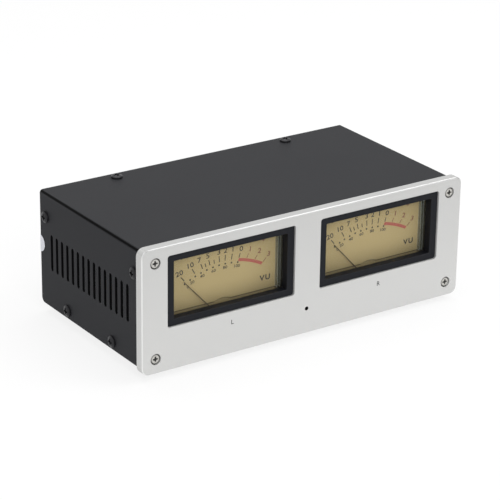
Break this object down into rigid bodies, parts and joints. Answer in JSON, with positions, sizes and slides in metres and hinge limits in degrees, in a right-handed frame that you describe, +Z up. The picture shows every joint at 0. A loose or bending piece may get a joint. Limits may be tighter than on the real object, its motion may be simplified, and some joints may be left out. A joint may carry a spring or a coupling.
{
  "type": "analog vu meter",
  "caption": "Desktop level meter: moving-coil dials behind windows in a silver front panel, slotted black steel case, with switches, input sockets and a level knob at the rear.",
  "frame": {"origin": "middle of the footprint, on the surface the feet stand on", "axes": "+X to the right seen from the front, +Y to the rear, +Z up; the front panel faces -Y"},
  "size_m": [0.1806, 0.1106, 0.064],
  "materials": {
    "black_steel": "satin black powder coat",
    "board_green": "solder mask",
    "brass": "turned",
    "coil_copper": "enamelled copper wire",
    "dial_face": "matt print on thin plate, khaki gold",
    "frame_cast": "die cast",
    "gloss_black": "moulded, slightly glossy",
    "iron": "dull nickel plated iron",
    "lens_clear": "clear moulded acrylic",
    "meter_black": "fine satin moulded black",
    "needle_black": "matt black",
    "panel_aluminium": "fine bead-blasted, clear anodised, bright chamfer",
    "plastic_red": "moulded",
    "plastic_white": "moulded",
    "plated": "nickel plated brass",
    "rubber_black": "matt",
    "screw_black": "black oxide",
    "screw_silver": "nickel plated",
    "seal_white": "thin white paper label",
    "zinc_steel": "zinc plated sheet"
  },
  "bodies": {
    "cabinet": {"front_panel": "panel_aluminium", "panel_screws": "screw_silver", "clinch_nuts": "zinc_steel", "chassis": "zinc_steel", "cover": "black_steel", "rear_panel": "black_steel", "case_screws": "screw_black", "feet": "rubber_black", "small_screws": "screw_silver", "seal": "seal_white", "bezel_left": "meter_black", "lens_left": "lens_clear", "dial_left": "dial_face", "dial_carrier_left": "dial_face", "meter_case_left": "meter_black", "yoke_left": "iron", "magnet_left": "iron", "movement_frame_left": "frame_cast", "jewel_bridge_left": "brass", "bezel_right": "meter_black", "lens_right": "lens_clear", "dial_right": "dial_face", "dial_carrier_right": "dial_face", "meter_case_right": "meter_black", "yoke_right": "iron", "magnet_right": "iron", "movement_frame_right": "frame_cast", "jewel_bridge_right": "brass", "terminals": "brass", "meter_screws": "screw_silver", "lamp_boards": "plastic_white", "dc_jack": "gloss_black", "power_switch": "gloss_black", "source_switch": "zinc_steel", "input_jacks": "plated", "input_washer_white": "plastic_white", "input_washer_red": "plastic_red", "level_pot": "zinc_steel", "circuit_board": "board_green", "capacitors": "gloss_black", "chips": "meter_black", "headers": "plastic_white", "standoffs": "brass", "mic_capsule": "plated", "mic_grommet": "rubber_black"},
    "movement_left": {"needle_left": "needle_black", "coil_left": "coil_copper", "hairsprings_left": "brass"},
    "zero_adjuster_left": {"zero_screw_left": "meter_black"},
    "zero_lever_left": {"zero_arm_left": "brass"},
    "movement_right": {"needle_right": "needle_black", "coil_right": "coil_copper", "hairsprings_right": "brass"},
    "zero_adjuster_right": {"zero_screw_right": "meter_black"},
    "zero_lever_right": {"zero_arm_right": "brass"},
    "rocker": {"power_rocker": "gloss_black"},
    "source_slide": {"source_lever": "gloss_black"},
    "level": {"level_shaft": "plated", "level_knob": "gloss_black"}
  },
  "joints": [
    {"name": "needle_left", "type": "hinge", "parent": "cabinet", "child": "movement_left", "pos_m": [-0.0419, -0.04255, 0.01725], "axis": [0, 1, 0], "range_deg": [-1, 87], "stiffness_Nm_per_rad": 0.0004, "deforming": ["hairsprings_left"]},
    {"name": "zero_screw_left", "type": "hinge", "parent": "cabinet", "child": "zero_adjuster_left", "pos_m": [-0.0419, -0.04935, 0.01145], "axis": [0, 1, 0], "range_deg": [-24, 24]},
    {"name": "zero_arm_left", "type": "hinge", "parent": "cabinet", "child": "zero_lever_left", "pos_m": [-0.0419, -0.04605, 0.01725], "axis": [0, 1, 0], "range_deg": [-4.9, 4.9]},
    {"name": "needle_right", "type": "hinge", "parent": "cabinet", "child": "movement_right", "pos_m": [0.0419, -0.04255, 0.01725], "axis": [0, 1, 0], "range_deg": [-1, 87], "stiffness_Nm_per_rad": 0.0004, "deforming": ["hairsprings_right"]},
    {"name": "zero_screw_right", "type": "hinge", "parent": "cabinet", "child": "zero_adjuster_right", "pos_m": [0.0419, -0.04935, 0.01145], "axis": [0, 1, 0], "range_deg": [-24, 24]},
    {"name": "zero_arm_right", "type": "hinge", "parent": "cabinet", "child": "zero_lever_right", "pos_m": [0.0419, -0.04605, 0.01725], "axis": [0, 1, 0], "range_deg": [-4.9, 4.9]},
    {"name": "power_rocker", "type": "hinge", "parent": "cabinet", "child": "rocker", "pos_m": [-0.04, 0.03815, 0.03365], "axis": [1, 0, 0], "range_deg": [0, 18]},
    {"name": "source_switch", "type": "slide", "parent": "cabinet", "child": "source_slide", "axis": [1, 0, 0], "range_m": [0, 0.004]},
    {"name": "level_control", "type": "hinge", "parent": "cabinet", "child": "level", "pos_m": [0.022, 0.04235, 0.03365], "axis": [0, 1, 0], "range_deg": [0, 300]}
  ],
  "couplings": [
    {"joint": "zero_arm_left", "follows": "zero_screw_left", "ratio": -0.2},
    {"joint": "zero_arm_right", "follows": "zero_screw_right", "ratio": -0.2}
  ]
}
